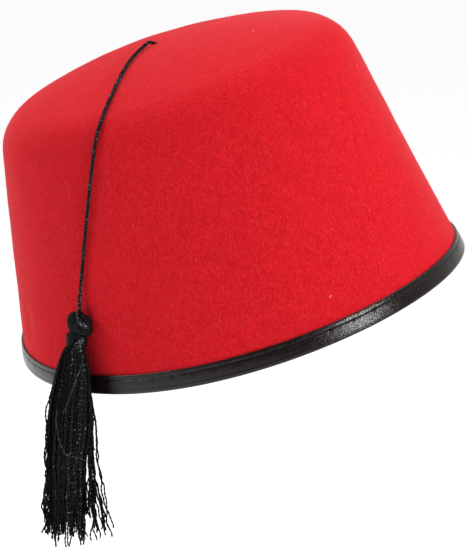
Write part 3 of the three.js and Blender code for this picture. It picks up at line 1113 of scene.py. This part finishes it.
class FEZ_OT_neck(bpy.types.Operator):
    """Wind the thread round the tassel's neck"""

    bl_idname = "fez.neck"
    bl_label = "Neck winding"

    def execute(self, context):
        tassel = context.scene.fez_tassel
        turns, steps, thread, lay = 13, 40, 0.00044, 0.0022
        bulge, tuck, slope = 0.00098, 0.0005, 0.0005
        top = tassel.head_height + tassel.gap
        line = []
        for i in range(turns * steps + 1):
            a = 2 * math.pi * i / steps
            r = tassel.neck_radius + tassel.gap + bulge + 0.00003 * math.sin(a * 1.7)
            r -= tuck * math.exp(-i / 36)
            up = -top - thread / 2 - (tassel.neck_height - thread) * i / (turns * steps)
            up += slope * math.cos(a - 2.3)
            line.append((tassel.neck_out + r * math.cos(a), tassel.neck_along + r * math.sin(a), up))
        lines = [evenly(hang(tassel, line), YARN_STEP)]
        piece = twist_yarns("neck_winding", lines, thread, lay, points=6)
        finish_piece(piece, yarn_finish("winding_thread", tassel, 0.1, 0.30), "neck_wrap")
        return {"FINISHED"}


def skirt_shares(share):
    """Half width, half depth, middle and yarn thickness of the skirt at shares of its length."""
    rows = np.array(SKIRT_SECTIONS)
    width, depth, out, along, size = [np.interp(share, rows[:, 0], rows[:, k]) for k in range(1, 6)]
    return width / 2, depth / 2, out, along, size


class FEZ_OT_skirt(bpy.types.Operator):
    """Hang the skirt's twisted yarns, with the loose ones at its sides"""

    bl_idname = "fez.skirt"
    bl_label = "Tassel skirt"

    def execute(self, context):
        tassel = context.scene.fez_tassel
        dice = random.Random(41)
        names = ("skirt_yarns", "skirt_core", "skirt_shiny_yarns", "skirt_loose_yarns", "skirt_threads")
        groups = {name: [] for name in names}
        for i in range(tassel.outer_yarns):
            a = 2 * math.pi * (i * GOLDEN_TURN + dice.uniform(-0.01, 0.01))
            on_right = -0.6 < (a + math.pi) % (2 * math.pi) - math.pi < 0.9
            # Shiny yarns have a little more real specular and full painted glints
            shiny = dice.random() < (0.55 if on_right else 0.12)
            ends = 0.86 + 0.18 * dice.random() ** 1.1
            reach = 0.98 - 0.2 * dice.random() ** 1.6
            yarn = self.yarn(tassel, dice, a, reach, ends)
            groups["skirt_shiny_yarns" if shiny else "skirt_yarns"].append(yarn)
        for i in range(tassel.inner_yarns):
            a = 2 * math.pi * i * GOLDEN_TURN
            ends = dice.uniform(0.80, 0.97)
            groups["skirt_core"].append(self.yarn(tassel, dice, a, 0.75 * math.sqrt(dice.random()), ends))
        groups["skirt_loose_yarns"] = self.loose_yarns(tassel, dice)
        step, fineness = 0.0005, 0.28
        for route in THREADS:
            line = smooth_route(hang(tassel, route), step)
            groups["skirt_threads"].append((line, np.full(len(line), fineness), 0.0))
        # The first number of each finish is how bright its painted glints are
        finishes = {
            "skirt_yarns": yarn_finish("skirt_yarn", tassel, 0.10),
            "skirt_core": yarn_finish("core_yarn", tassel, 0.0),
            "skirt_shiny_yarns": yarn_finish("shiny_yarn", tassel, 1.0, 0.2),
            "skirt_loose_yarns": yarn_finish("loose_yarn", tassel, 0.25),
            "skirt_threads": yarn_finish("fine_thread", tassel, 0.8, 0.5, 0.62, pale=0.5),
        }
        for name, yarns in groups.items():
            lines, sizes, turns = zip(*yarns)
            points = 8 if name.endswith("_yarns") else 6
            across, lay = tassel.yarn, tassel.yarn_lay
            piece = twist_yarns(name, lines, across, lay, points=points, sizes=sizes, turns=turns)
            finish_piece(piece, finishes[name], "tassel" if name == "skirt_yarns" else None)
        return {"FINISHED"}

    def loose_yarns(self, tassel, dice):
        """Yarns that hang apart, in clumps at the right and close in at the left, and four strays."""
        reach = 0.97
        yarns = []
        for i in range(tassel.loose_yarns):
            if i % 6 == 1:
                clump = dice.uniform(-1.2, 0.0)
                clump_start = dice.uniform(0.12, 0.36)
                clump_away = dice.uniform(-0.004, 0.004)
            if i % 3:
                aside = 0.0016 + 0.0092 * (i - i % 6) / tassel.loose_yarns + dice.uniform(-0.0003, 0.0003)
                away = clump_away + dice.uniform(-0.0004, 0.0004)
                start, span = clump_start + dice.uniform(0.0, 0.02), 0.66
                ends = dice.uniform(0.84, 1.0)
                a = clump + dice.uniform(-0.08, 0.08)
            else:
                a = dice.uniform(2.0, 2.9)
                aside = -dice.uniform(0.0004, 0.0017)
                away = dice.uniform(-0.001, 0.001)
                start, span = dice.uniform(0.0, 0.5), 0.3
                ends = dice.uniform(0.90, 1.03)
            yarns.append(self.yarn(tassel, dice, a, reach, ends, (aside, away, start, span)))
        for a, aside, start, span, ends in STRAYS:
            yarns.append(self.yarn(tassel, dice, a, reach, ends, (aside, 0.001, start, span)))
        return yarns

    def yarn(self, tassel, dice, a, reach, ends, loose=None):
        """One yarn: its line from the neck to its crinkled end, its thickness along it and its turn.

        A loose yarn swings aside and away from the felt, from a share of the skirt's length and over a span.
        """
        step = 0.00068
        share = np.linspace(0, ends, round(tassel.skirt_length * ends / step) + 1)
        width, depth, out, along, size = skirt_shares(share)
        free = [dice.uniform(0, 2 * math.pi) for _ in range(8)]

        def wave(depth, waves, which):
            return depth * np.sin(waves * share + free[which])

        hang_free = share**1.4
        locks = 11
        gather = a - 0.9 * share * math.sin(locks * a + 0.7) / locks
        sway = wave(0.0008, 6, 0) + wave(0.0004, 19, 1)
        swing = wave(0.0006, 7, 2) + wave(0.0003, 23, 3)
        curl = wave(0.00020, 84, 4) + wave(0.00010, 171, 5)
        curl_out = wave(0.00020, 77, 6)
        along = along + reach * width * np.cos(gather) + hang_free * sway + share * curl
        out = out + reach * depth * np.sin(gather) + hang_free * swing + share * curl_out
        if loose:
            aside, away, start, span = loose
            t = np.clip((share - start) / span, 0, None)
            t = np.where(t < 1, t**1.4, t)
            kink = 0.0006 * np.minimum(t, 1) * (wave(1.0, 26, 7) + wave(0.4, 47, 1))
            c, s = -math.sin(tassel.direction), -math.cos(tassel.direction)
            along = along + c * (aside * t + kink) + s * away * t
            out = out - s * (aside * t + kink) + c * away * t
        top = tassel.head_height + tassel.neck_height + 2 * tassel.gap
        line = hang(tassel, np.stack([out, along, -top - share * tassel.skirt_length], 1))
        return line, size, dice.uniform(0, 2 * math.pi)


class FEZ_OT_stage(bpy.types.Operator):
    """Lay the pale floor and set the soft studio lights"""

    bl_idname = "fez.stage"
    bl_label = "Stage and lights"

    def execute(self, context):
        studio = context.scene.fez_studio
        deselect()
        middle = (0, 0, studio.floor_height)
        bpy.ops.mesh.primitive_circle_add(vertices=96, radius=12, fill_type="NGON", location=middle)
        floor = context.object
        floor.name = "floor"
        put_place_in_mesh()
        material, pale = new_finish("pale_floor", {"Roughness": 0.9, "Emission Strength": studio.floor_glow})
        tone = pale.mix(studio.floor, (0.95, 0.95, 0.95), pale.noise(pale.coordinates(), 40, 2, 0.5))
        pale.surface({"Base Color": tone, "Emission Color": tone})
        floor.data.materials.append(material)
        self.room(context, studio)
        self.softbox("key", (0.78, -0.945, 0.40), 0.34, studio.key)
        self.softbox("side", (-1.20, 0.16, 0.66), 0.42, studio.side)
        self.softbox("top", (0.10, 0.25, 1.20), 0.90, studio.top)
        return {"FINISHED"}

    def room(self, context, studio):
        """A white room, darker where the camera stands."""
        world = bpy.data.worlds.new("white_room")
        world.use_nodes = True
        context.scene.world = world
        context.scene.view_settings.view_transform = "Standard"
        room = Tree(world.node_tree, "Background")
        way = room.add("ShaderNodeTexCoord", out="Generated")
        back = room.add("ShaderNodeSeparateXYZ", None, {0: way}, "Y").between(-0.8, 0.6)
        room.surface({"Color": (1, 1, 1), "Strength": room.blend(studio.room_front, studio.room_back, back)})

    def softbox(self, name, place, across, power):
        """A square light that faces the hat."""
        place, hat = Vector(place), Vector((0, 0, 0.045))
        turn = (hat - place).to_track_quat("-Z", "Y").to_euler()
        bpy.ops.object.light_add(type="AREA", location=place, rotation=turn)
        light = bpy.context.object
        light.name = name
        light.data.shape = "SQUARE"
        light.data.size = across
        light.data.energy = power


class FEZ_PT_panel(bpy.types.Panel):
    """The steps in which the fez is dressed"""

    bl_idname = "FEZ_PT_panel"
    bl_label = "Felt Fez"
    bl_space_type = "VIEW_3D"
    bl_region_type = "UI"
    bl_category = "Fez"

    def draw(self, context):
        for step in STEPS:
            self.layout.operator(step.bl_idname)


STEPS = (
    FEZ_OT_camera,
    FEZ_OT_cord,
    FEZ_OT_knot,
    FEZ_OT_crown,
    FEZ_OT_nap,
    FEZ_OT_tape,
    FEZ_OT_stitches,
    FEZ_OT_tassel_head,
    FEZ_OT_neck,
    FEZ_OT_skirt,
    FEZ_OT_stage,
)
SETTINGS = {
    "fez_crown": CrownSettings,
    "fez_tape": TapeSettings,
    "fez_tassel": TasselSettings,
    "fez_studio": StudioSettings,
}
CLASSES = (*SETTINGS.values(), *STEPS, FEZ_PT_panel)


def register():
    for item in CLASSES:
        bpy.utils.register_class(item)
    for name, group in SETTINGS.items():
        setattr(bpy.types.Scene, name, PointerProperty(type=group))


def unregister():
    for name in SETTINGS:
        delattr(bpy.types.Scene, name)
    for item in reversed(CLASSES):
        bpy.utils.unregister_class(item)


def main():
    register()
    bpy.ops.fez.camera()
    bpy.ops.fez.cord()
    bpy.ops.fez.knot()
    bpy.ops.fez.crown()
    bpy.ops.fez.nap()
    bpy.ops.fez.tape()
    bpy.ops.fez.stitches()
    bpy.ops.fez.tassel_head()
    bpy.ops.fez.neck()
    bpy.ops.fez.skirt()
    bpy.ops.fez.stage()


if __name__ == "__main__":
    main()
